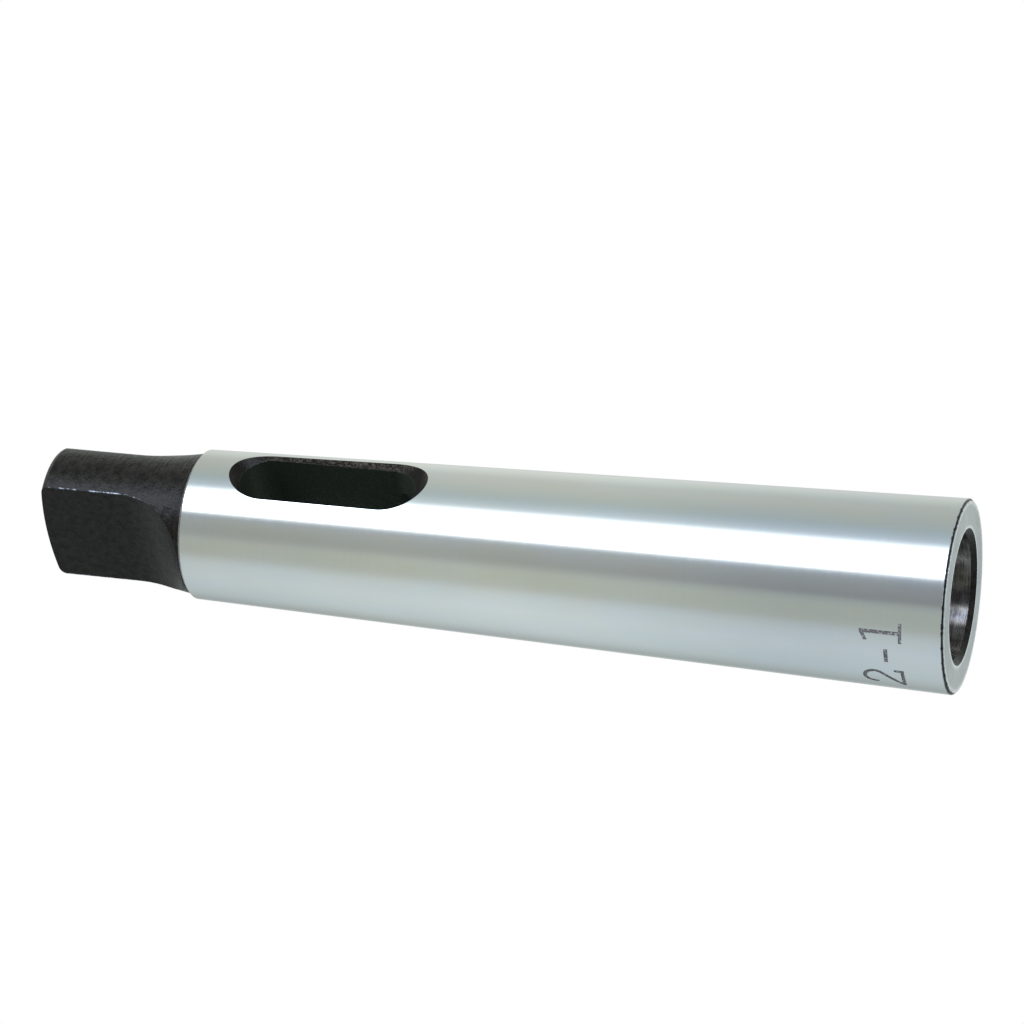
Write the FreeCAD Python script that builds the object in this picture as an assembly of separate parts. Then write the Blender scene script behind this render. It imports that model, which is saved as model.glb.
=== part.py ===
import FreeCAD, Part
import math
import os
from FreeCAD import Vector

# A reducing sleeve for taper shank tools, turned, milled and ground from one bar of steel.
# Its ground outside is a number 2 self-holding taper and its socket is a number 1 taper.
# It stands on the ground face of its big end, with the tang up.
# Z is the axis, Z = 0 is the big end's face, the drift slot runs through along Y,
# and the two flats of the tang face +X and -X. All sizes are in millimetres.

# Along the axis, from the big end's face
sleeve_length = 92.0          # face to the crown of the tang
tang_reach = 16.0             # end of the ground taper to the crown of the tang
slot_end_wall = 4.7           # steel left between the slot and the end of the ground taper
slot_length = 17.8            # drift slot, over its rounded ends
slot_over_bore = 2.5          # how far the slot overlaps the full depth of the socket's bore

# Outside taper, number 2: 17.780 at its gauge line, 1 in 20.020 on the diameter
outer_gauge_diameter = 17.780
outer_gauge_height = 17.0
outer_taper = 1 / 20.020
face_bevel = 0.25             # small bevel round the big end's face
small_end_bevel = 0.30        # bevel where the ground taper drops to the turned neck

# Socket, number 1: 12.065 at the face, 1 in 20.047 on the diameter
socket_gauge_diameter = 12.065
socket_taper = 1 / 20.047
relief_diameter = 9.7         # drilled hole that clears the small end of the inner shank
drill_point_angle = 118.0
mouth_diameter = 13.05        # countersink that guards the mouth of the socket
mouth_angle = 90.0

# Drift slot
slot_width = 5.9
slot_rim_level = 6.55         # height above the axis where the slot's countersunk rim begins
slot_rim_angle = 90.0         # included angle of that rim

# Neck and tang
tang_diameter = 12.8
tang_thickness = 6.1          # across the two milled flats
neck_swell = 0.65             # how far the turned neck swells, on the radius, down to the taper
neck_radius = 28.0            # hollow radius of that swell
cutter_radius = 8.0           # run-out of the flats, left by the side cutter
run_out_reach = 7.3           # end of the ground taper to where the run-out leaves the flats
crown_radius = 34.0           # domed end of the tang
tang_edge_round = 0.8         # round between the dome and the side of the tang

# Centre hole in the tang's end, from turning and grinding between centres
centre_pilot_diameter = 2.0
centre_mouth_diameter = 4.25
centre_angle = 60.0
centre_pilot_depth = 4.2      # from the dome to the end of the pilot's straight part

# Worked out from the sizes above
ground_end = sleeve_length - tang_reach
slot_top = ground_end - slot_end_wall
slot_bottom = slot_top - slot_length
socket_depth = slot_bottom + slot_over_bore
tang_radius = tang_diameter / 2
neck_root_radius = tang_radius + neck_swell
blank_diameter = outer_gauge_diameter + outer_gauge_height * outer_taper
overrun = 1.0                 # how far a cutting shape stands past the surface it cuts


def outer_radius(height):
    """Radius of the ground taper at a height above the face."""
    return blank_diameter / 2 - height * outer_taper / 2


def socket_radius(height):
    """Radius of the socket's taper at a height above the face."""
    return socket_gauge_diameter / 2 - height * socket_taper / 2


def point(radius, height):
    """A point of a turned outline: its radius from the axis and its height."""
    return Vector(radius, 0, height)


def line(start, end):
    return Part.LineSegment(start, end).toShape()


def arc(start, through, end):
    return Part.Arc(start, through, end).toShape()


def turned(edges):
    """Turns a closed outline, given as edges in the XZ plane, once round the axis."""
    face = Part.Face(Part.Wire(edges))
    return face.revolve(Vector(0, 0, 0), Vector(0, 0, 1), 360)


def closed_outline(corners):
    """Straight edges round a list of corners, closed back to the first."""
    return [line(a, b) for a, b in zip(corners, corners[1:] + corners[:1])]


def neck_outline(top_height):
    """Hollow swell of the neck, from the taper's bevel up to the tang's straight side."""
    root = point(neck_root_radius, ground_end + small_end_bevel)
    # The hollow arc is tangent to the tang's side, so its centre is level with its upper end.
    rise = math.sqrt(neck_radius ** 2 - (neck_radius - neck_swell) ** 2)
    tangent_height = root.z + rise
    centre = point(tang_radius + neck_radius, tangent_height)
    sweep = math.asin(rise / neck_radius)
    middle = centre + Vector(-math.cos(sweep / 2), 0, -math.sin(sweep / 2)) * neck_radius
    tangent = point(tang_radius, tangent_height)
    return [arc(root, middle, tangent), line(tangent, point(tang_radius, top_height))]


def crown_outline():
    """Rounded corner and dome of the tang's end, down to the axis, and the corner's height."""
    crown_centre = point(0, sleeve_length - crown_radius)
    # The corner's arc touches the dome from inside and the tang's straight side.
    corner_x = tang_radius - tang_edge_round
    reach = crown_radius - tang_edge_round
    corner_centre = point(corner_x, crown_centre.z + math.sqrt(reach ** 2 - corner_x ** 2))
    on_side = point(tang_radius, corner_centre.z)
    outward = (corner_centre - crown_centre).normalize()
    on_crown = crown_centre + outward * crown_radius
    halfway = (outward + Vector(1, 0, 0)).normalize()
    lean = math.atan2(outward.x, outward.z) / 2
    dome_middle = crown_centre + Vector(math.sin(lean), 0, math.cos(lean)) * crown_radius
    edges = [
        arc(on_side, corner_centre + halfway * tang_edge_round, on_crown),
        arc(on_crown, dome_middle, point(0, sleeve_length)),
    ]
    return edges, on_side.z


def turned_blank():
    """Outside of the sleeve as turned and ground: taper, neck and domed tang, still round."""
    face_edge = outer_radius(0) - face_bevel
    crown, corner_height = crown_outline()
    corners = [
        point(0, 0),
        point(face_edge, 0),
        point(outer_radius(face_bevel), face_bevel),
        point(outer_radius(ground_end), ground_end),
        point(neck_root_radius, ground_end + small_end_bevel),
    ]
    edges = [line(a, b) for a, b in zip(corners, corners[1:])]
    edges += neck_outline(corner_height)
    edges += crown
    edges.append(line(point(0, sleeve_length), point(0, 0)))
    return turned(edges)


def socket_cut():
    """Everything that is bored from the face: drilled relief, reamed taper and countersink."""
    drill_radius = relief_diameter / 2
    point_height = drill_radius / math.tan(math.radians(drill_point_angle / 2))
    drill = turned(closed_outline([
        point(0, -overrun),
        point(drill_radius, -overrun),
        point(drill_radius, socket_depth),
        point(0, socket_depth + point_height),
    ]))
    reamer = turned(closed_outline([
        point(0, -overrun),
        point(socket_radius(-overrun), -overrun),
        point(socket_radius(socket_depth), socket_depth),
        point(0, socket_depth),
    ]))
    steepness = math.tan(math.radians(mouth_angle / 2))
    countersink = turned(closed_outline([
        point(0, -overrun),
        point(mouth_diameter / 2 + overrun * steepness, -overrun),
        point(0, mouth_diameter / 2 / steepness),
    ]))
    return [drill, reamer, countersink]


def drift_slot_cut():
    """Slot for the drift, square through the axis along Y, with ends as round as the cutter."""
    half = slot_width / 2
    low = slot_bottom + half
    high = slot_top - half
    edges = [
        line(Vector(half, 0, low), Vector(half, 0, high)),
        arc(Vector(half, 0, high), Vector(0, 0, slot_top), Vector(-half, 0, high)),
        line(Vector(-half, 0, high), Vector(-half, 0, low)),
        arc(Vector(-half, 0, low), Vector(0, 0, slot_bottom), Vector(half, 0, low)),
    ]
    profile = Part.Face(Part.Wire(edges))
    reach = blank_diameter / 2 + overrun
    profile.translate(Vector(0, -reach, 0))
    return profile.extrude(Vector(0, 2 * reach, 0))


def slot_rim_cut(side):
    """Countersink that follows the slot's outline at one level; side is +1 or -1 along Y."""
    half = slot_width / 2
    low = slot_bottom + half
    high = slot_top - half
    climb = blank_diameter / 2 + overrun - slot_rim_level
    wide = half + climb * math.tan(math.radians(slot_rim_angle / 2))
    level = side * slot_rim_level
    above = side * (slot_rim_level + climb)
    section = [
        Vector(-half, level, low),
        Vector(half, level, low),
        Vector(wide, above, low),
        Vector(-wide, above, low),
    ]
    straight = Part.Face(Part.Wire(closed_outline(section))).extrude(Vector(0, 0, high - low))
    outwards = Vector(0, side, 0)
    ends = [Part.makeCone(half, wide, climb, Vector(0, level, z), outwards) for z in (low, high)]
    return straight.fuse(ends)


def flat_cut(side):
    """What the side cutter takes off one side of the tang; side is +1 or -1 along X."""
    depth_x = tang_thickness / 2
    run_out_height = ground_end + run_out_reach
    lowest = run_out_height - cutter_radius
    clear_x = max(depth_x + cutter_radius, blank_diameter / 2) + overrun
    top = sleeve_length + overrun
    slant = cutter_radius * math.sqrt(0.5)
    arc_middle = Vector(side * (depth_x + cutter_radius - slant), 0, run_out_height - slant)
    start = Vector(side * depth_x, 0, run_out_height)
    end = Vector(side * (depth_x + cutter_radius), 0, lowest)
    edges = [
        arc(start, arc_middle, end),
        line(end, Vector(side * clear_x, 0, lowest)),
        line(Vector(side * clear_x, 0, lowest), Vector(side * clear_x, 0, top)),
        line(Vector(side * clear_x, 0, top), Vector(side * depth_x, 0, top)),
        line(Vector(side * depth_x, 0, top), start),
    ]
    profile = Part.Face(Part.Wire(edges))
    reach = blank_diameter / 2 + overrun
    profile.translate(Vector(0, -reach, 0))
    return profile.extrude(Vector(0, 2 * reach, 0))


def centre_hole_cut():
    """Centre hole in the dome: a straight pilot with a drill point, and its cone."""
    pilot_radius = centre_pilot_diameter / 2
    mouth_radius = centre_mouth_diameter / 2
    steepness = math.tan(math.radians(centre_angle / 2))
    # The cone reaches its full mouth diameter where it breaks out through the dome.
    mouth_height = sleeve_length - crown_radius + math.sqrt(crown_radius ** 2 - mouth_radius ** 2)
    above = sleeve_length + overrun
    cone_top_radius = mouth_radius + (above - mouth_height) * steepness
    cone_tip = mouth_height - mouth_radius / steepness
    cone = turned(closed_outline([
        point(0, cone_tip),
        point(cone_top_radius, above),
        point(0, above),
    ]))
    pilot_end = sleeve_length - centre_pilot_depth
    tip = pilot_radius / math.tan(math.radians(drill_point_angle / 2))
    pilot = turned(closed_outline([
        point(0, pilot_end - tip),
        point(pilot_radius, pilot_end),
        point(pilot_radius, above),
        point(0, above),
    ]))
    return [cone, pilot]


def build_sleeve():
    """The whole sleeve: one solid piece of steel."""
    cuts = socket_cut() + [drift_slot_cut(), slot_rim_cut(1), slot_rim_cut(-1)]
    cuts += [flat_cut(1), flat_cut(-1)] + centre_hole_cut()
    sleeve = turned_blank()
    for tool in cuts:
        sleeve = sleeve.cut(tool)
    return sleeve.removeSplitter()


os.makedirs("parts", exist_ok=True)
sleeve = build_sleeve()
sleeve.exportStep("parts/sleeve.step")
box = sleeve.optimalBoundingBox(True, False)
print("sleeve:", len(sleeve.Solids), "solid with", len(sleeve.Faces), "faces")
print("volume:", round(sleeve.Volume, 1), "cubic mm")
print("box:", round(box.XLength, 3), "by", round(box.YLength, 3), "by", round(box.ZLength, 3), "mm")
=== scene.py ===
# %% [markdown]
# # A reducing sleeve for taper shank tools
#
# This lesson dresses one steel part: a sleeve that lets a drill with a small taper shank sit in a
# machine spindle with a larger taper. It is one bar of steel. A lathe gives it its round shape, a
# milling cutter makes the slot and the two flats of the tang, a blackening bath colours it, and a
# grinding wheel then bares the outside taper.
#
# The lesson follows the same order: first the turned blank, then the cuts, then the finishes.

# %% Load the frame
import math
import bpy
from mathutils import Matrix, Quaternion, Vector


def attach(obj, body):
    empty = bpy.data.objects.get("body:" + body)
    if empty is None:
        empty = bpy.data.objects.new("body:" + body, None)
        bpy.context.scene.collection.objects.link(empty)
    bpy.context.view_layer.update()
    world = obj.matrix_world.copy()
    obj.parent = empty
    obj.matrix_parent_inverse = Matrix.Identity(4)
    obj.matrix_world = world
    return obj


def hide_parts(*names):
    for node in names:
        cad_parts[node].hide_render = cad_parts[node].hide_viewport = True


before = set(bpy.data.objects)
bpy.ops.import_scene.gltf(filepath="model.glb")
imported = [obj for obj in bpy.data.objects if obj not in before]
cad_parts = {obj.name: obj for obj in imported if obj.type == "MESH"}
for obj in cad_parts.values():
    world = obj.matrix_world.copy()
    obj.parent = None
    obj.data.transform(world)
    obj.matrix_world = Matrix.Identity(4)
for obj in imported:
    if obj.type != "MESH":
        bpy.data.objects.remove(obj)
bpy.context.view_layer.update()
mm = 0.001


def in_mm(sides):
    """Lengths in millimetres, rounded to be printed."""
    return [round(side / mm, 3) for side in sides]


# %% [markdown]
# ## Camera
#
# Where a camera stood can be found from the object itself: the long edges of the sleeve and the
# ovals of its two ends fix the direction, the distance and the lens. Here the sleeve stands on
# its big end, and the photograph shows it lying down, seen a little from the side of that end.
# So the camera is below the middle of the sleeve, looks slightly up, and is rolled by nearly a
# quarter turn about its own line of sight. A long lens keeps the taper from looking steeper.

# %% Camera
camera_place = Vector((311.708, 281.439, -76.616)) * mm
camera_aim = Vector((-2.666, 3.010, 44.813)) * mm
camera_roll = math.radians(-84.673)
camera_lens = 158.607


def deselect_all():
    """Leaves nothing selected, so that an operator acts on the new object alone."""
    bpy.ops.object.select_all(action="DESELECT")


deselect_all()
bpy.ops.object.camera_add(location=camera_place)
camera = bpy.context.object
camera.name = "camera"
level = (camera_aim - camera_place).to_track_quat("-Z", "Y")
camera.rotation_mode = "QUATERNION"
camera.rotation_quaternion = level @ Quaternion((0, 0, 1), camera_roll)
camera.data.lens = camera_lens
camera.data.clip_start = 0.01
camera.data.clip_end = 10
bpy.context.scene.camera = camera
bpy.context.scene.view_settings.view_transform = "Standard"
print("the camera is", round((camera_aim - camera_place).length, 3), "m from its aim")

# %% [markdown]
# ## The sizes
#
# The sleeve follows two standard tapers: number 2 outside and number 1 in the socket. A taper is
# given as its diameter at one height and how fast it narrows. The helper functions below turn
# that into a radius at any height, which both the outline and the finishes use later. Each slope
# is what the radius loses for each unit of height.

# %% Sizes
sleeve_length = 92.0 * mm
ground_end = 76.0 * mm
blank_radius = 9.3146 * mm
taper_slope = 1 / 40.04
face_bevel = 0.25 * mm
small_end_bevel = 0.30 * mm
neck_root_radius = 7.05 * mm
neck_hollow = 28.0 * mm
tang_radius = 6.4 * mm
crown_radius = 34.0 * mm
crown_corner = 0.8 * mm
flat_half = 3.05 * mm
cutter_radius = 8.0 * mm
run_out_height = 83.3 * mm
slot_half = 2.95 * mm
slot_low = 53.5 * mm
slot_high = 71.3 * mm
slot_rim_level = 6.55 * mm
mouth_radius = 6.525 * mm
socket_gauge_radius = 6.0325 * mm
socket_slope = 1 / 40.094
relief_radius = 4.85 * mm
relief_end = 56.0 * mm
drill_point_half = math.radians(59)
pilot_radius = 1.0 * mm
pilot_end = 87.8 * mm
centre_mouth_radius = 2.125 * mm
centre_cone_half = math.radians(30)


def taper_radius(height):
    """Radius of the ground outside at a height above the big end."""
    return blank_radius - height * taper_slope


def socket_radius(height):
    """Radius of the reamed socket at a height above the big end."""
    return socket_gauge_radius - height * socket_slope


neck_top = ground_end + small_end_bevel + math.sqrt(
    neck_hollow ** 2 - (neck_hollow - neck_root_radius + tang_radius) ** 2)
print("the neck ends", round(neck_top / mm, 2), "mm above the big end")

# %% [markdown]
# ## A pen for outlines
#
# Everything that is turned on a lathe can be drawn as half an outline and swung round the axis.
# A few small tools draw such an outline point by point, as one does by hand in edit mode: a
# plane is merged to a single point, the point is moved to the start, and each extrusion pulls a
# line out of it. An arc is a spin of that same point round the arc's centre.

# %% Pen
merge_distance = 0.0005 * mm


def start_outline(name, x, y, z):
    """One point in a new mesh, in edit mode, ready to be pulled along."""
    deselect_all()
    bpy.ops.mesh.primitive_plane_add(size=mm, location=(0, 0, 0))
    bpy.context.object.name = name
    bpy.ops.object.mode_set(mode="EDIT")
    bpy.ops.mesh.merge(type="CENTER")
    bpy.ops.transform.translate(value=(x, y, z))
    return bpy.context.object


def pull(start, end, steps=1):
    """Pulls a straight line from start to end, both (x, z), in equal steps."""
    step = ((end[0] - start[0]) / steps, 0, (end[1] - start[1]) / steps)
    for _ in range(steps):
        bpy.ops.mesh.extrude_region_move(TRANSFORM_OT_translate={"value": step})


def swing(centre, degrees, steps):
    """Swings the point round a centre (x, z); a positive angle goes from +X towards +Z."""
    bpy.ops.mesh.spin(
        steps=steps, angle=math.radians(degrees), center=(centre[0], 0, centre[1]),
        axis=(0, 1, 0), use_auto_merge=False)


def merge_points():
    """Selects the whole mesh and merges points that lie on each other."""
    bpy.ops.mesh.select_all(action="SELECT")
    bpy.ops.mesh.remove_doubles(threshold=merge_distance)


def close_mesh():
    """Merges doubled points, turns all faces outwards and leaves edit mode."""
    merge_points()
    bpy.ops.mesh.normals_make_consistent(inside=False)
    bpy.ops.object.mode_set(mode="OBJECT")


# %% [markdown]
# ## The tang's end
#
# The tang ends in a dome with a rounded corner, and a centre hole goes down into it, in which the
# lathe and the grinding machine held the bar. The corner's arc touches the dome from inside and
# the tang's straight side, which fixes its centre. The hole's cone starts where it breaks out
# through the dome. Each lean is an angle at the dome's centre, measured from the axis.

# %% Places on the tang's end
crown_centre = (0, sleeve_length - crown_radius)
corner_x = tang_radius - crown_corner
corner_rise = math.sqrt((crown_radius - crown_corner) ** 2 - corner_x ** 2)
corner_centre = (corner_x, crown_centre[1] + corner_rise)
crown_lean = math.degrees(math.atan2(corner_x, corner_rise))
mouth_lean = math.degrees(math.asin(centre_mouth_radius / crown_radius))
mouth_height = crown_centre[1] + crown_radius * math.cos(math.radians(mouth_lean))
cone_depth = (centre_mouth_radius - pilot_radius) / math.tan(centre_cone_half)
pilot_depth = pilot_end - pilot_radius / math.tan(drill_point_half)
print("the centre hole breaks out", round(mouth_height / mm, 2), "mm above the big end")

# %% [markdown]
# ## The turned blank
#
# One outline gives the whole round shape: it starts at the bottom of the centre hole in the
# tang, climbs out over the domed crown, runs down the tang, the hollow neck and the long taper to
# the big end, and goes back up inside through the countersink and the socket to the tip of the
# drilled hole. Both ends touch the axis, so one full spin closes it. The taper gets a ring every
# two millimetres, which keeps its faces near square where the cuts will cross them.

# %% Turned blank
blank = start_outline("sleeve_body", 0, 0, pilot_depth)
pull((0, pilot_depth), (pilot_radius, pilot_end), steps=2)
pull((pilot_radius, pilot_end), (pilot_radius, mouth_height - cone_depth), steps=2)
pull((pilot_radius, mouth_height - cone_depth), (centre_mouth_radius, mouth_height), steps=3)
swing(crown_centre, mouth_lean - crown_lean, steps=8)
swing(corner_centre, crown_lean - 90, steps=8)
pull((tang_radius, corner_centre[1]), (tang_radius, neck_top), steps=6)
neck_angle = math.degrees(math.acos(1 - (neck_root_radius - tang_radius) / neck_hollow))
swing((tang_radius + neck_hollow, neck_top), neck_angle, steps=12)

# %% [markdown]
# From the neck on, all is straight. Each corner below is a radius, a height and the number of
# steps that lead to it. The countersink ends where its 45 degree side meets the socket's taper,
# and the drilled relief starts where the taper has narrowed to the drill.

# %% Taper, socket and relief
socket_start = (mouth_radius - socket_gauge_radius) / (1 - socket_slope)
relief_start = (socket_gauge_radius - relief_radius) / socket_slope
relief_tip = relief_end + relief_radius / math.tan(drill_point_half)
corners = [
    (neck_root_radius, ground_end + small_end_bevel, 1),
    (taper_radius(ground_end), ground_end, 1),
    (taper_radius(face_bevel), face_bevel, 38),
    (blank_radius - face_bevel, 0, 1),
    (mouth_radius, 0, 3),
    (socket_radius(socket_start), socket_start, 1),
    (relief_radius, relief_start, 20),
    (relief_radius, relief_end, 4),
    (0, relief_tip, 4),
]
for before, after in zip(corners, corners[1:]):
    pull(before[:2], after[:2], steps=after[2])
turn_steps = 288
bpy.ops.mesh.select_all(action="SELECT")
bpy.ops.mesh.spin(
    steps=turn_steps, angle=math.tau, center=(0, 0, 0), axis=(0, 0, 1), use_auto_merge=True)
close_mesh()
print("turned blank:", len(blank.data.polygons), "faces,", in_mm(blank.dimensions), "mm")

# %% [markdown]
# ## Cuts
#
# After turning, milling cutters make the slot and the tang's two flats. A Boolean modifier does
# the same: a closed shape stands where the cutter went, and what it covers is taken away. The
# helpers below turn an outline drawn with the pen into such a closed shape and make the cut. All
# cutters reach well past the outside of the sleeve.

# %% Cutting tools
reach = 12.0 * mm


def pick(*pieces):
    """Selects these objects alone and makes the first one active."""
    deselect_all()
    for piece in pieces:
        piece.select_set(True)
    bpy.context.view_layer.objects.active = pieces[0]


def fill():
    """Closes the drawn outline, which stands in a plane across Y, into one flat face."""
    merge_points()
    bpy.ops.mesh.edge_face_add()


def push(length):
    """Pushes the flat face along Y into a closed shape."""
    bpy.ops.mesh.extrude_region_move(TRANSFORM_OT_translate={"value": (0, length, 0)})
    close_mesh()


def join(*pieces):
    """Joins objects into the first one."""
    pick(*pieces)
    bpy.ops.object.join()
    return pieces[0]


def cut(piece, tool):
    """Takes the tool's shape away from the piece and removes the tool."""
    pick(piece)
    bpy.ops.object.modifier_add(type="BOOLEAN")
    change = piece.modifiers[-1]
    change.operation = "DIFFERENCE"
    change.solver = "EXACT"
    change.object = tool
    bpy.ops.object.modifier_apply(modifier=change.name)
    bpy.data.objects.remove(tool)


# %% [markdown]
# ## Drift slot
#
# The slot lets a flat wedge in behind the inner shank's tang, to drive that shank out. An end
# mill went right through, so the outline has round ends. A countersink then followed the same
# outline at one height on both sides. The sleeve is round, so its rim is narrow along the slot's
# sides and wide at its ends. Both cutters are one closed shape here: the slot's outline is drawn
# four times along Y, narrow within the rims and wide at the two ends, and a bridge of faces joins
# the outlines. One shape leaves no doubled faces where the rim begins, as two cuts could.

# %% Drift slot
slot_bottom_centre = (0, slot_low + slot_half)
slot_top_centre = (0, slot_high - slot_half)


def draw_slot(half, y):
    """The slot's closed outline at one y, with half its width."""
    bottom = slot_bottom_centre[1]
    top = slot_top_centre[1]
    outline = start_outline("slot_tool", half, y, bottom)
    pull((half, bottom), (half, top))
    swing(slot_top_centre, 180, steps=48)
    pull((-half, top), (-half, bottom))
    swing(slot_bottom_centre, 180, steps=48)
    merge_points()
    bpy.ops.object.mode_set(mode="OBJECT")
    return outline


slot_wide = slot_half + reach - slot_rim_level
slot_tool = join(
    draw_slot(slot_wide, -reach), draw_slot(slot_half, -slot_rim_level),
    draw_slot(slot_half, slot_rim_level), draw_slot(slot_wide, reach))
bpy.ops.object.mode_set(mode="EDIT")
bpy.ops.mesh.select_mode(type="EDGE")
bpy.ops.mesh.select_all(action="SELECT")
bpy.ops.mesh.bridge_edge_loops()
bpy.ops.mesh.select_all(action="SELECT")
bpy.ops.mesh.fill_holes(sides=0)
bpy.ops.mesh.select_mode(type="VERT")
close_mesh()
print("the slot's cutter:", len(slot_tool.data.polygons), "faces")
cut(blank, slot_tool)
print("after the slot:", len(blank.data.polygons), "faces")

# %% [markdown]
# ## Flats of the tang
#
# A side cutter planes the round tang down to two flats, which the spindle's own slot grips and
# turns. Where it stops, its round edge leaves a hollow run-out through the neck, which just
# clears the end of the taper. The outline of what it takes away is that arc and a box above it.

# %% Flats
run_out_foot = run_out_height - cutter_radius
above_tang = sleeve_length + mm
for side in (1, -1):
    flat = side * flat_half
    arc_end = side * (flat_half + cutter_radius)
    clear = side * reach
    flat_tool = start_outline("flat_tool", flat, -reach, run_out_height)
    swing((arc_end, run_out_height), side * 90, steps=32)
    pull((arc_end, run_out_foot), (clear, run_out_foot))
    pull((clear, run_out_foot), (clear, above_tang))
    pull((clear, above_tang), (flat, above_tang))
    fill()
    push(2 * reach)
    cut(blank, flat_tool)
print("after the flats:", len(blank.data.polygons), "faces")

# %% [markdown]
# ## Numerals
#
# Near the big end such a sleeve carries the numbers of its two tapers. They are drawn here with
# the same pen, as closed outlines with a thin stroke: a two, a short dash and a one. Each is
# pushed a little way into the round side and turned about the axis to its place.

# %% Numeral tools
mark_foot = 3.95 * mm
mark_top = 8.0 * mm
mark_depth = 0.04 * mm
mark_front = -blank_radius - 0.5 * mm
mark_push = 2 * mm


def mark_points(corners):
    """Corners (x, z), in millimetres from the middle of the foot line, as points."""
    return [(x * mm, mark_foot + z * mm) for x, z in corners]


def draw_chain(name, points):
    """A numeral's outline in front of the taper, pulled from point to point."""
    piece = start_outline(name, points[0][0], mark_front, points[0][1])
    for before, after in zip(points, points[1:]):
        pull(before, after)
    return piece


def place_numeral(piece, azimuth):
    """Pushes a drawn numeral inwards and turns it about the axis to its azimuth in degrees."""
    fill()
    push(mark_push)
    pick(piece)
    piece.rotation_euler = (0, 0, math.radians(azimuth + 90))
    bpy.ops.object.transform_apply(location=False, rotation=True, scale=False)
    print(piece.name, "has", len(piece.data.polygons), "faces")


# %% [markdown]
# The one has a flag at its head and a foot, and the dash is a plain bar. Both have straight sides
# only, so their outlines are pulled round their corners and back to the first.

# %% One and dash
one_points = mark_points([
    (0.19, 4.05), (-0.08, 4.05), (-0.94, 3.66), (-0.94, 3.30), (-0.19, 3.62), (-0.19, 0.32),
    (-1.03, 0.32), (-1.03, 0), (1.03, 0), (1.03, 0.32), (0.19, 0.32)])
one = draw_chain("numeral_one", one_points + one_points[:1])
place_numeral(one, azimuth=16.3)

dash_points = mark_points([(-0.8, 1.38), (0.8, 1.38), (0.8, 1.76), (-0.8, 1.76)])
dash = draw_chain("numeral_dash", dash_points + dash_points[:1])
place_numeral(dash, azimuth=0)

# %% [markdown]
# The two is a round bowl on a slanted foot. Its outline starts on the inner side of the bowl,
# goes round the foot to the outer side, swings over the bowl, crosses the stroke at its open end
# and swings back on the inner side.

# %% Two
stroke = 0.38 * mm
bowl = (0, mark_foot + 2.85 * mm)
bowl_outer = 1.2 * mm
bowl_inner = bowl_outer - stroke
bowl_foot = -46
bowl_end = 192


def on_bowl(radius, degrees):
    """A point of the two's bowl, at an angle that goes from +X towards +Z."""
    angle = math.radians(degrees)
    return (radius * math.cos(angle), bowl[1] + radius * math.sin(angle))


foot_points = mark_points([
    (-1.4, 0.34), (-1.4, 0), (1.42, 0), (1.42, 0.95), (1.1, 0.95), (1.04, 0.34), (-0.87, 0.34)])
two = draw_chain(
    "numeral_two", [on_bowl(bowl_inner, bowl_foot), *foot_points, on_bowl(bowl_outer, bowl_foot)])
swing(bowl, bowl_end - bowl_foot, steps=40)
pull(on_bowl(bowl_outer, bowl_end), on_bowl(bowl_inner, bowl_end))
swing(bowl, bowl_foot - bowl_end, steps=40)
place_numeral(two, azimuth=-20.5)

# %% [markdown]
# A cone that is slightly smaller than the taper is now taken away from the numerals, so that what
# is left of them cuts only a shallow, even skin, as etching does.

# %% Etch the numerals
marks = join(one, dash, two)
core_low = mark_foot - mm
core_high = mark_top + mm
deselect_all()
bpy.ops.mesh.primitive_cone_add(
    vertices=turn_steps, radius1=taper_radius(core_low) - mark_depth,
    radius2=taper_radius(core_high) - mark_depth, depth=core_high - core_low,
    location=(0, 0, (core_low + core_high) / 2))
cut(marks, bpy.context.object)
print("skin of the numerals:", len(marks.data.polygons), "faces")
cut(blank, marks)
print("after the numerals:", len(blank.data.polygons), "faces")

# %% [markdown]
# ## Smooth and sharp
#
# A turned surface is round, and a milled edge is crisp. Shading by angle smooths the small
# steps between neighbouring faces and keeps every edge sharper than the limit.

# %% Shading
smooth_limit = math.radians(24)
pick(blank)
bpy.ops.object.shade_smooth_by_angle(angle=smooth_limit)
print("sharp edges:", sum(edge.use_edge_sharp for edge in blank.data.edges))


# %% [markdown]
# ## Maths in materials
#
# A finish is worked out from the place on the part. The two small classes below let that be
# written as plain sums: a Value is a socket that can be added, subtracted, multiplied and
# divided, and a Bench holds one material's nodes and adds any node by its type.

# %% Values
class Value:
    """A node's output that takes part in sums like a number."""

    def __init__(self, bench, socket):
        self.bench = bench
        self.socket = socket

    def __add__(self, other):
        return self.bench.math("ADD", self, other)

    def __radd__(self, other):
        return self.bench.math("ADD", other, self)

    def __sub__(self, other):
        return self.bench.math("SUBTRACT", self, other)

    def __rsub__(self, other):
        return self.bench.math("SUBTRACT", other, self)

    def __mul__(self, other):
        return self.bench.math("MULTIPLY", self, other)

    def __rmul__(self, other):
        return self.bench.math("MULTIPLY", other, self)

    def __truediv__(self, other):
        return self.bench.math("DIVIDE", self, other)

    def __rtruediv__(self, other):
        return self.bench.math("DIVIDE", other, self)


def colour(red, green, blue):
    """A colour as a socket takes it, with its alpha."""
    return (red, green, blue, 1)


# %% [markdown]
# The bench has one method for any node, and short ones for what comes often: a soft step, a mix
# of two colours, noise, and the place on the part. Noise has a scale of one everywhere, and the
# coordinates are scaled instead, so that it can be stretched: a pattern with a large scale along
# the axis and a small one across it gives thin rings.

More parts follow.
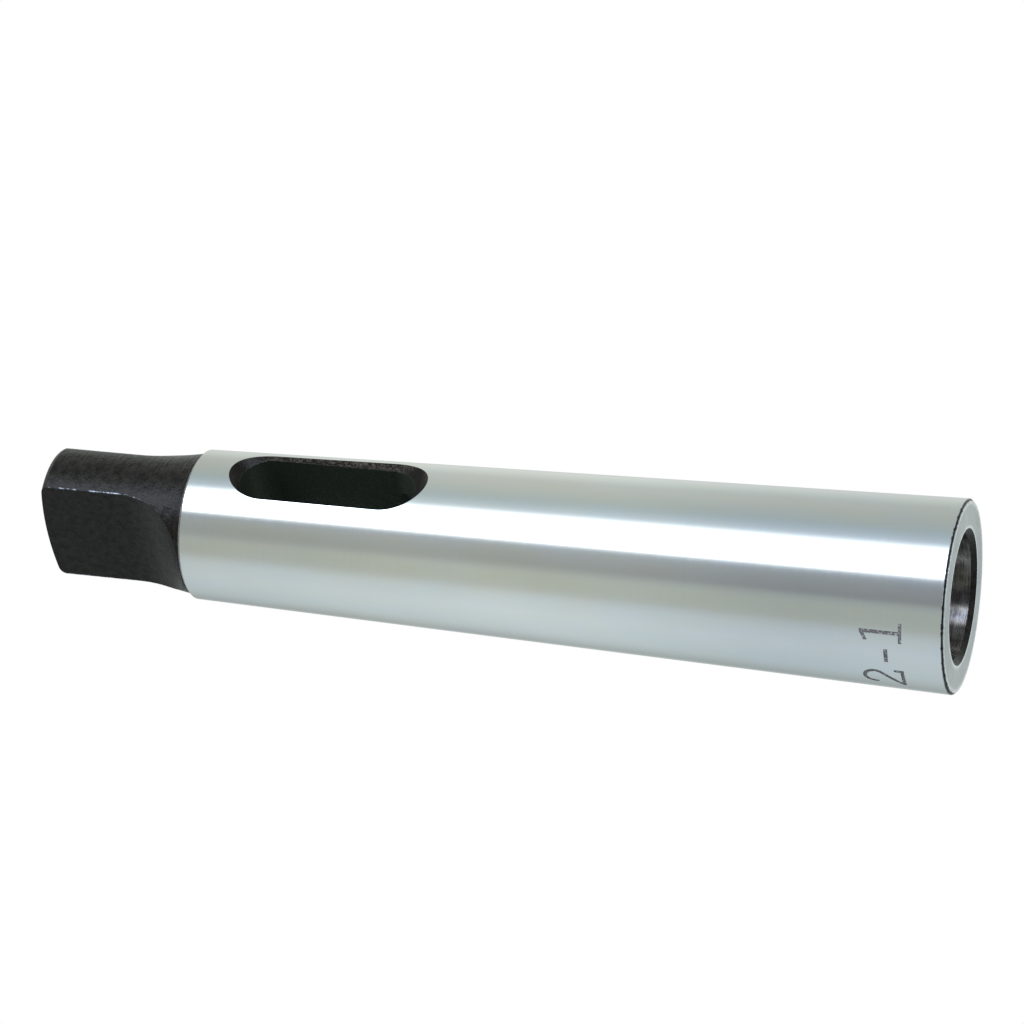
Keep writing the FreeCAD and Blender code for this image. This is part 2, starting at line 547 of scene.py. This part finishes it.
# %% Node bench
class Bench:
    """The nodes of one material or of the world."""

    def __init__(self, owner):
        owner.use_nodes = True
        self.owner = owner
        self.tree = owner.node_tree
        self.tree.nodes.clear()

    def node(self, kind, settings=None, inputs=None, output=0):
        """Adds a node: its settings first, then values or links into its inputs."""
        node = self.tree.nodes.new(kind)
        for name, value in (settings or {}).items():
            if name == "stops":
                ramp = node.color_ramp.elements
                while len(ramp) < len(value):
                    ramp.new(0.5)
                for stop, (position, shade) in zip(ramp, value):
                    stop.position = position
                    stop.color = shade
            else:
                setattr(node, name, value)
        for name, value in (inputs or {}).items():
            if isinstance(value, Value):
                self.tree.links.new(value.socket, node.inputs[name])
            else:
                node.inputs[name].default_value = value
        return Value(self, node.outputs[output]) if len(node.outputs) else node

    def math(self, operation, *values):
        """One sum, by the name of a Math node's operation."""
        return self.node("ShaderNodeMath", {"operation": operation}, dict(enumerate(values)))

    def absolute(self, value):
        """The value without its sign."""
        return self.math("ABSOLUTE", value)

    def fade(self, value, low, high):
        """0 below low, 1 above high, and a soft step between; low may be the larger one."""
        return self.node(
            "ShaderNodeMapRange", {"interpolation_type": "SMOOTHSTEP"},
            {"Value": value, "From Min": low, "From Max": high, "To Min": 0.0, "To Max": 1.0})

    def blend(self, share, first, second):
        """Colour between first and second, by a share from 0 to 1."""
        return self.node(
            "ShaderNodeMix", {"data_type": "RGBA"},
            {"Factor": share, 6: first, 7: second}, output=2)

    def place(self):
        """The three object coordinates, in millimetres."""
        object_place = self.node("ShaderNodeTexCoord", output=3)
        apart = self.node("ShaderNodeSeparateXYZ", None, {0: object_place})
        return [Value(self, socket) * (1 / mm) for socket in apart.socket.node.outputs]

    def from_axis(self, x, y):
        """Distance from the axis, in the unit of x and y."""
        return self.math("SQRT", x * x + y * y)

    def stretched(self, across, along):
        """Object coordinates scaled per metre across the axis and along it."""
        object_place = self.node("ShaderNodeTexCoord", output=3)
        return self.node(
            "ShaderNodeMapping", None, {"Vector": object_place, "Scale": (across, across, along)})

    def noise(self, place, detail=3.0, rough=0.5):
        """Noise from 0 to 1 at a place that is already scaled."""
        return self.node(
            "ShaderNodeTexNoise", None,
            {"Vector": place, "Scale": 1.0, "Detail": detail, "Roughness": rough})

    def finish(self, **inputs):
        """Joins the metal's shader to the output; in the inputs' names _ is a space."""
        named = {name.replace("_", " "): value for name, value in inputs.items()}
        shader = self.node("ShaderNodeBsdfPrincipled", None, named)
        self.node("ShaderNodeOutputMaterial", None, {"Surface": shader})
        print(self.owner.name, "has", len(self.tree.nodes), "nodes")
        return self.owner


# %% [markdown]
# ## Ground steel
#
# A grinding wheel leaves fine lines that run round the taper, too shallow to see one by one.
# They blur every reflection along the axis and keep it sharp round the girth, which is why the
# real sleeve shows long, clean bands of light. That is what the shader's anisotropy does: its
# default direction already turns about the Z axis, and a quarter turn puts the blur along the
# axis. The middle of the taper is painted a touch brighter than its two ends, a painted reflection
# of how the room's light falls along it, and stretched noise adds the faint rings of uneven shine.
# The steel is cooler near the big end and warmer towards the small one, and traces of oil mottle
# it with both tones.

# %% Ground steel
quarter_turn = 0.25


def ground_steel():
    bench = Bench(bpy.data.materials.new("ground_steel"))
    height = bench.place()[2]
    rings = bench.noise(bench.stretched(120, 9000), detail=4.0, rough=0.6)
    clouds = bench.noise(bench.stretched(160, 60), detail=2.0)
    stains = bench.noise(bench.stretched(330, 150), rough=0.6)
    # painted reflection: the middle of the taper lighter, its two ends darker
    middle = bench.fade(height, 10.0, 38.0) * bench.fade(height, 92.0, 42.0)
    shine = middle * 0.72 + bench.fade(rings * 0.3 + clouds * 0.7, 0.3, 0.7) * 0.28
    cool = bench.blend(shine, colour(0.574, 0.596, 0.608), colour(0.722, 0.744, 0.748))
    warm = bench.blend(shine, colour(0.590, 0.592, 0.560), colour(0.742, 0.740, 0.690))
    warmth = bench.fade(stains, 0.36, 0.64) * 0.5 + bench.fade(height, 14.0, 40.0) * 0.5
    bump = bench.node(
        "ShaderNodeBump", None, {"Strength": 0.06, "Distance": 0.01 * mm, "Height": rings})
    return bench.finish(
        Base_Color=bench.blend(warmth, cool, warm), Metallic=1.0, Roughness=0.17 + rings * 0.07,
        Anisotropic=0.75, Anisotropic_Rotation=quarter_turn, Normal=bump)


# %% [markdown]
# ## Face steel
#
# The big end's flat face was ground by the side of a wheel while the sleeve turned, so its fine
# lines are circles about the axis. They blur its shine outwards from the centre, and clouds and
# specks of duller metal lie over them. A narrow painted highlight, a brighter rim, runs inside
# each of the face's two edges. The narrow bevel at the taper's small end has the same finish.

# %% Face steel
def face_steel():
    bench = Bench(bpy.data.materials.new("face_steel"))
    x, y, _ = bench.place()
    radius = bench.from_axis(x, y)
    circles = bench.node(
        "ShaderNodeTexNoise", {"noise_dimensions": "1D"},
        {"W": radius * 6, "Scale": 1.0, "Detail": 3.0})
    specks = bench.noise(bench.stretched(2600, 2600))
    clouds = bench.noise(bench.stretched(500, 500), detail=2.0)
    shine = circles * 0.3 + bench.fade(specks, 0.3, 0.7) * 0.4
    shine = shine + bench.fade(clouds, 0.3, 0.7) * 0.3
    base = bench.blend(shine, colour(0.36, 0.385, 0.39), colour(0.60, 0.630, 0.63))
    inner = mouth_radius / mm
    outer = (blank_radius - face_bevel) / mm
    # painted highlight: a brighter rim inside each edge of the face
    rims = bench.fade(radius, inner + 0.42, inner + 0.12)
    rims = rims + bench.fade(radius, outer - 0.48, outer - 0.15)
    painted_rim_highlight = rims * bench.fade(specks, 0.25, 0.55) * 0.85
    return bench.finish(
        Base_Color=bench.blend(painted_rim_highlight, base, colour(0.90, 0.93, 0.93)), Metallic=1.0,
        Roughness=0.24 + specks * 0.12, Anisotropic=0.6, Anisotropic_Rotation=quarter_turn)


# %% [markdown]
# ## Socket steel
#
# Inside, the reamed and ground socket sees only its own walls and the light from its two
# openings. It is a darker, faintly brown steel, partly its own tone and partly painted shade of
# the deep socket, mottled where oil has dried on it. Its lines run round it as well, and draw the
# lamp's reflection out into one pale patch.

# %% Socket steel
def socket_steel():
    bench = Bench(bpy.data.materials.new("socket_steel"))
    rings = bench.noise(bench.stretched(200, 7000), detail=4.0, rough=0.6)
    patches = bench.noise(bench.stretched(900, 900), detail=4.0, rough=0.6)
    shine = bench.fade(rings * 0.45 + patches * 0.55, 0.36, 0.64)
    # darker base: partly the steel's own tone, partly painted shade of the socket's depth
    return bench.finish(
        Base_Color=bench.blend(shine, colour(0.132, 0.116, 0.108), colour(0.405, 0.380, 0.358)),
        Metallic=1.0, Roughness=0.24 + rings * 0.06, Anisotropic=1.0,
        Anisotropic_Rotation=quarter_turn)


# %% [markdown]
# ## Etched mark
#
# The etching eats a shallow, dull layer out of the ground steel. It doesn't bite evenly: in spots
# it leaves the bright metal, so the numerals look broken up.

# %% Etched mark
def etched_mark():
    bench = Bench(bpy.data.materials.new("etched_mark"))
    spots = bench.noise(bench.stretched(4200, 4200), detail=2.0, rough=0.6)
    left_bright = bench.fade(spots, 0.50, 0.68)
    return bench.finish(
        Base_Color=bench.blend(
            left_bright, colour(0.125, 0.116, 0.114), colour(0.42, 0.420, 0.42)),
        Metallic=0.5, Roughness=0.62)


# %% [markdown]
# ## Worn corners
#
# The blackening bath coloured the whole turned sleeve, and corners rub bare first. On the tang a
# corner is where the turned outside meets a milled flat, and its bare line is partly worn metal
# and partly a painted highlight along the edge. How far a point lies from each of them is known
# from the sizes, and where both distances are small the point is on the corner, so the wear and
# the painted highlight can be worked out with no painting by hand. The bevel round the big end's
# face is so narrow that only a line along its middle keeps its black. Noise nibbles at all these
# bare places.

# %% Wear
def outline_gap(bench, radius, height):
    """Millimetres between a point and the turned outside of the neck and tang."""
    below = bench.math("MAXIMUM", neck_top / mm - height, 0.0)
    hollow = neck_hollow / mm
    inward = bench.math("SQRT", hollow ** 2 - below * below)
    return bench.absolute(tang_radius / mm + hollow - inward - radius)


def flat_gap(bench, x, height):
    """Millimetres between a point and the milled flat with its run-out."""
    cutter = cutter_radius / mm
    below = bench.math("MAXIMUM", run_out_height / mm - height, 0.0)
    below = bench.math("MINIMUM", below, cutter)
    surface = flat_half / mm + cutter - bench.math("SQRT", cutter ** 2 - below * below)
    return bench.absolute(bench.absolute(x) - surface)


def tang_wear_and_glint(bench, to_outline, to_flat, height, nibbles):
    """How bare the corner between a flat and the round side is, above the neck, with a painted
    edge highlight.
    """
    corner = bench.fade(bench.math("MAXIMUM", to_outline, to_flat), 0.12, 0.03)
    return corner * bench.fade(nibbles, 0.46, 0.62) * bench.fade(height, 80.0, 82.5)


def bevel_wear(bench, radius, height, nibbles):
    """How bare the two corners of the bevel round the big end's face are."""
    middle = face_bevel / mm / 2
    corner = bench.fade(bench.absolute(height - middle), middle * 0.45, middle * 0.8)
    return corner * bench.fade(nibbles, 0.36, 0.56) * bench.fade(radius, 8.8, 8.9)


# %% [markdown]
# ## Skin of the slot
#
# The drift slot is painted darker than the tang, a painted shade of its deep, narrow opening.
# Along its two long sides the countersunk rim has lighter brown flecks, partly rubbed metal and
# partly painted light where the rim's edge catches it, and its walls have a thin film of a dull
# dark green. Behind them the drilled relief is painted lighter, a painted light that comes in
# through the slot. Each region's limits, in millimetres, follow from the sizes of the slot and
# the drill.

# %% Slot skin
def slot_zone(bench, height):
    """1 between the ends of the slot's rim, and 0 elsewhere."""
    low = slot_low / mm
    high = slot_high / mm
    return bench.fade(height, low - 1.0, low - 0.2) * bench.fade(height, high + 1.3, high + 0.7)


def slot_skin(bench, skin, slot, place, flecks):
    """The black skin as it changes on the slot's rim, on its walls and in the relief, with painted
    shade and painted light.
    """
    x, y, height = place
    aside = bench.absolute(x)
    half = slot_half / mm
    low = slot_low / mm
    level = slot_rim_level / mm
    # painted shade: the slot's faces darker than the tang
    skin = bench.blend(slot * 0.75, skin, colour(0.0020, 0.0013, 0.0009))
    # brown flecks on the rim's long sides, partly painted light where the edge catches it
    long_sides_lit = slot * bench.fade(aside, half - 0.35, half + 0.15)
    skin = bench.blend(long_sides_lit * flecks * 0.8, skin, colour(0.050, 0.039, 0.029))
    walls = slot * bench.fade(bench.absolute(y), level + 0.15, level - 0.15)
    skin = bench.blend(walls, skin, colour(0.0140, 0.0178, 0.0114))
    drill = relief_radius / mm
    tip = relief_tip / mm
    # painted light: the relief lighter, for light that comes in through the slot
    relief = bench.fade(bench.from_axis(x, y), drill + 0.10, drill + 0.05)
    relief = relief * bench.fade(height, tip + 1.1, tip)
    past_slot = bench.math(
        "MAXIMUM", bench.fade(aside, half + 0.01, half + 0.05), bench.fade(height, low, low - 0.1))
    return bench.blend(relief * past_slot, skin, colour(0.135, 0.150, 0.120))


# %% [markdown]
# ## Black oxide
#
# After the bath, the grinding wheel bared only the taper and the flat of the big end. So the tang,
# the neck, the slot with its rim, the countersink and the thin bevel round the face stay black: a
# dark layer with a faint brown tone that copies the tool marks beneath it, turning rings on the
# round sides and a finer grain on the flats. The lower end of the slot, which faces away from the
# light, is duller than the rest.

# %% Black oxide
def black_oxide():
    bench = Bench(bpy.data.materials.new("black_oxide"))
    place = bench.place()
    x, y, height = place
    radius = bench.from_axis(x, y)
    grain = bench.noise(bench.stretched(5000, 5000), rough=0.6)
    nibbles = bench.noise(bench.stretched(1800, 1800), rough=0.6)
    patches = bench.noise(bench.stretched(1300, 1300), detail=4.0, rough=0.65)
    turning = bench.noise(bench.stretched(150, 2600), detail=2.0, rough=0.6)
    to_outline = outline_gap(bench, radius, height)
    to_flat = flat_gap(bench, x, height)
    skin = bench.blend(
        bench.fade(patches * 0.8 + grain * 0.2, 0.34, 0.66),
        colour(0.0014, 0.0012, 0.0010), colour(0.0105, 0.0090, 0.0072))
    slot = slot_zone(bench, height)
    flecks = bench.fade(nibbles * 0.45 + grain * 0.55, 0.44, 0.60)
    skin = slot_skin(bench, skin, slot, place, flecks)
    worn_and_glint = tang_wear_and_glint(bench, to_outline, to_flat, height, nibbles)
    rubbed = bevel_wear(bench, radius, height, nibbles)
    # bare corners of the tang: worn metal with a painted edge highlight
    base = bench.blend(worn_and_glint, skin, colour(0.22, 0.23, 0.26))
    base = bench.blend(rubbed, base, colour(0.45, 0.47, 0.47))
    dull_end = slot * bench.fade(height, slot_low / mm + 3.0, slot_low / mm + 1.0)
    rings = turning * bench.fade(to_outline, 0.10, 0.02)
    bump = bench.node(
        "ShaderNodeBump", None,
        {"Strength": 0.8, "Distance": 0.06 * mm,
         "Height": grain * 0.8 + patches * 1.6 + rings * 2.0})
    return bench.finish(
        Base_Color=base, Metallic=worn_and_glint * 0.8 + rubbed * 0.9,
        Roughness=0.18 + grain * 0.18 + dull_end * 0.4, Specular_IOR_Level=0.145,
        Specular_Tint=colour(1.0, 0.93, 0.87), Normal=bump)


# %% [markdown]
# ## Finishes on their faces
#
# Each face takes its finish from where it lies. Its centre tells how far it is from the axis
# and how high it stands, and its normal tells which way it looks. A face on the long taper is
# ground, a face just under the taper's skin belongs to the numerals, the flat of the big end and
# the small end's bevel are bright, a face inside the socket is reamed, and all the rest kept its
# black skin.

# %% Hand out the finishes
finishes = [ground_steel(), face_steel(), socket_steel(), etched_mark(), black_oxide()]
ground, bright, reamed, etched, black = range(len(finishes))
tiny = 0.01 * mm


def finish_of(face):
    """The number of the finish that a face has."""
    centre = face.center
    radius = math.hypot(centre.x, centre.y)
    outward = face.normal.x * centre.x + face.normal.y * centre.y > 0
    under = taper_radius(centre.z) - radius
    if centre.z < ground_end and outward and under < tiny:
        return ground
    if core_low < centre.z < core_high and under < 2 * mark_depth:
        return etched
    if centre.z < tiny and radius > mouth_radius:
        return bright
    if ground_end < centre.z < ground_end + small_end_bevel and outward:
        return bright
    if socket_start < centre.z < relief_start and radius < mouth_radius:
        return reamed
    return black


for material in finishes:
    blank.data.materials.append(material)
counts = [0] * len(finishes)
for face in blank.data.polygons:
    face.material_index = finish_of(face)
    counts[face.material_index] += 1
print("faces by finish:", counts)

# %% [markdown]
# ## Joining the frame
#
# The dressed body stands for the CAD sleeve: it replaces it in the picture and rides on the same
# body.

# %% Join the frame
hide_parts("sleeve")
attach(blank, "root")
print(blank.name, "now stands for the CAD sleeve")

# %% [markdown]
# ## Floor
#
# The sleeve stands on a plain pale floor that fades into the white round it. The photograph's
# camera is lower than the floor, so the floor's underside lets everything through.

# %% Floor
floor_side = 2.4
fade_start = 150.0
fade_end = 420.0
deselect_all()
bpy.ops.mesh.primitive_plane_add(size=floor_side, location=(0, 0, 0))
floor = bpy.context.object
floor.name = "floor"
bench = Bench(bpy.data.materials.new("pale_floor"))
x, y, _ = bench.place()
pale = bench.node("ShaderNodeBsdfDiffuse", None, {"Color": colour(0.86, 0.86, 0.86)})
clear = bench.node("ShaderNodeBsdfTransparent")
underside = bench.node("ShaderNodeNewGeometry", output=6)
faded = bench.fade(bench.from_axis(x, y), fade_start, fade_end)
hidden = bench.math("MAXIMUM", underside, faded)
mixed = bench.node("ShaderNodeMixShader", None, {0: hidden, 1: pale, 2: clear})
bench.node("ShaderNodeOutputMaterial", None, {"Surface": mixed})
floor.data.materials.append(bench.owner)
floor.visible_shadow = False
floor.visible_diffuse = False
floor.visible_glossy = False
floor.visible_transmission = False
print("the floor is clear from", fade_end, "mm outwards")

# %% [markdown]
# ## Light
#
# Bright metal shows its surroundings, so the surroundings are the light. The real sleeve lay in
# a white studio with one bright window-like lamp: it shows as the white band. The world below is
# such a room, drawn by the compass direction of each ray in degrees: pale walls of slightly
# different tones, a darker corner beside the lamp, and a plain pale ceiling and ground straight
# above and below. The corner is darkest low down, where the big end of the sleeve sees it, and
# lightens upwards. The lamp is a little blue, which only the dark places of the part show: on
# the taper it is white. All tones are given with plain white as one, so the lamp's are larger.

# %% Tones of the room
lamp_tone = (5.4, 6.4, 8.2)
peak = max(lamp_tone)
corner_tone = (0.48, 0.517, 0.49)
ceiling_tone = (0.9, 0.9, 0.9)
ground_tone = (0.50, 0.53, 0.53)
room = [
    (-180, (0.75, 0.81, 0.78)),
    (-168, (0.80, 0.84, 0.82)),
    (-138, (0.63, 0.68, 0.67)),
    (-112, (0.43, 0.48, 0.485)),
    (-98, (0.545, 0.61, 0.62)),
    (-82, (0.66, 0.75, 0.79)),
    (-67, (0.71, 0.81, 0.86)),
    (-40, (0.76, 0.85, 0.91)),
    (-20, (0.71, 0.80, 0.84)),
    (-12, (0.665, 0.73, 0.755)),
    (-5, (0.585, 0.63, 0.600)),
    (0, (0.565, 0.61, 0.566)),
    (8, (0.560, 0.605, 0.550)),
    (18, (0.560, 0.605, 0.560)),
    (25, (0.50, 0.545, 0.54)),
    (28, (0.30, 0.31, 0.335)),
    (31, (0.190, 0.195, 0.235)),
    (35, (0.255, 0.255, 0.320)),
    (48, (0.285, 0.310, 0.385)),
    (59, (0.41, 0.48, 0.53)),
    (60.5, (1.2, 1.25, 1.28)),
    (64, (5.0, 5.3, 5.6)),
    (69, lamp_tone),
    (85, lamp_tone),
    (90, (5.2, 5.7, 6.3)),
    (95.5, (1.9, 2.05, 2.2)),
    (103, (0.68, 0.80, 0.90)),
    (118, (0.53, 0.63, 0.67)),
    (128, (0.55, 0.62, 0.61)),
    (150, (0.645, 0.68, 0.64)),
    (165, (0.655, 0.70, 0.68)),
    (180, (0.75, 0.81, 0.78)),
]
print("the room has", len(room), "tones round it")

# %% [markdown]
# A ramp holds colours up to one, so it holds shares of the lamp's strongest tone, and the
# background's strength brings them back. The camera itself sees plain white, whatever the room
# is like: a light path node tells its rays from those that the metal sends out.

# %% World
def dimmed(red, green, blue):
    """A tone of the room as a share of the lamp's strongest one."""
    return colour(red / peak, green / peak, blue / peak)


world = bpy.context.scene.world or bpy.data.worlds.new("room")
bpy.context.scene.world = world
bench = Bench(world)
direction = bench.node("ShaderNodeTexCoord", output=0)
apart = bench.node("ShaderNodeSeparateXYZ", None, {0: direction}).socket.node.outputs
east, north, up = [Value(bench, socket) for socket in apart]
compass = bench.math("ARCTAN2", north, east) * math.degrees(1)
stops = [((angle + 180) / 360, dimmed(*tone)) for angle, tone in room]
walls = bench.node("ShaderNodeValToRGB", {"stops": stops}, {"Fac": compass / 360 + 0.5})
corner = bench.fade(compass, 20.0, 27.0) * bench.fade(compass, 58.0, 48.0)
walls = bench.blend(corner * bench.fade(up, 0.21, 0.27), walls, dimmed(*corner_tone))
ceiling = bench.blend(bench.fade(up, 0.75, 0.95), walls, dimmed(*ceiling_tone))
around_part = bench.blend(bench.fade(up, -0.80, -0.93), ceiling, dimmed(*ground_tone))
room_light = bench.node("ShaderNodeBackground", None, {"Color": around_part, "Strength": peak})
white = bench.node("ShaderNodeBackground", None, {"Color": colour(1, 1, 1), "Strength": 1.0})
seen = bench.node("ShaderNodeLightPath", output=0)
mixed = bench.node("ShaderNodeMixShader", None, {0: seen, 1: room_light, 2: white})
bench.node("ShaderNodeOutputWorld", None, {"Surface": mixed})
print("the world has", len(bench.tree.nodes), "nodes")

# %% [markdown]
# A large soft lamp adds a direction to the shadow on the floor. It is kept out of reflections,
# because the room already holds the bright band that the metal shows.

# %% Lamp
lamp_place = Vector((0.10, 0.45, 0.55))
lamp_aim = Vector((0, 0, 0.04))
deselect_all()
bpy.ops.object.light_add(type="AREA", location=lamp_place)
lamp = bpy.context.object
lamp.name = "soft_lamp"
lamp.data.shape = "DISK"
lamp.data.size = 0.45
lamp.data.energy = 2.2
lamp.rotation_mode = "QUATERNION"
lamp.rotation_quaternion = (lamp_aim - lamp_place).to_track_quat("-Z", "Y")
lamp.visible_glossy = False
print("the lamp is", round((lamp_aim - lamp_place).length, 2), "m from the sleeve")
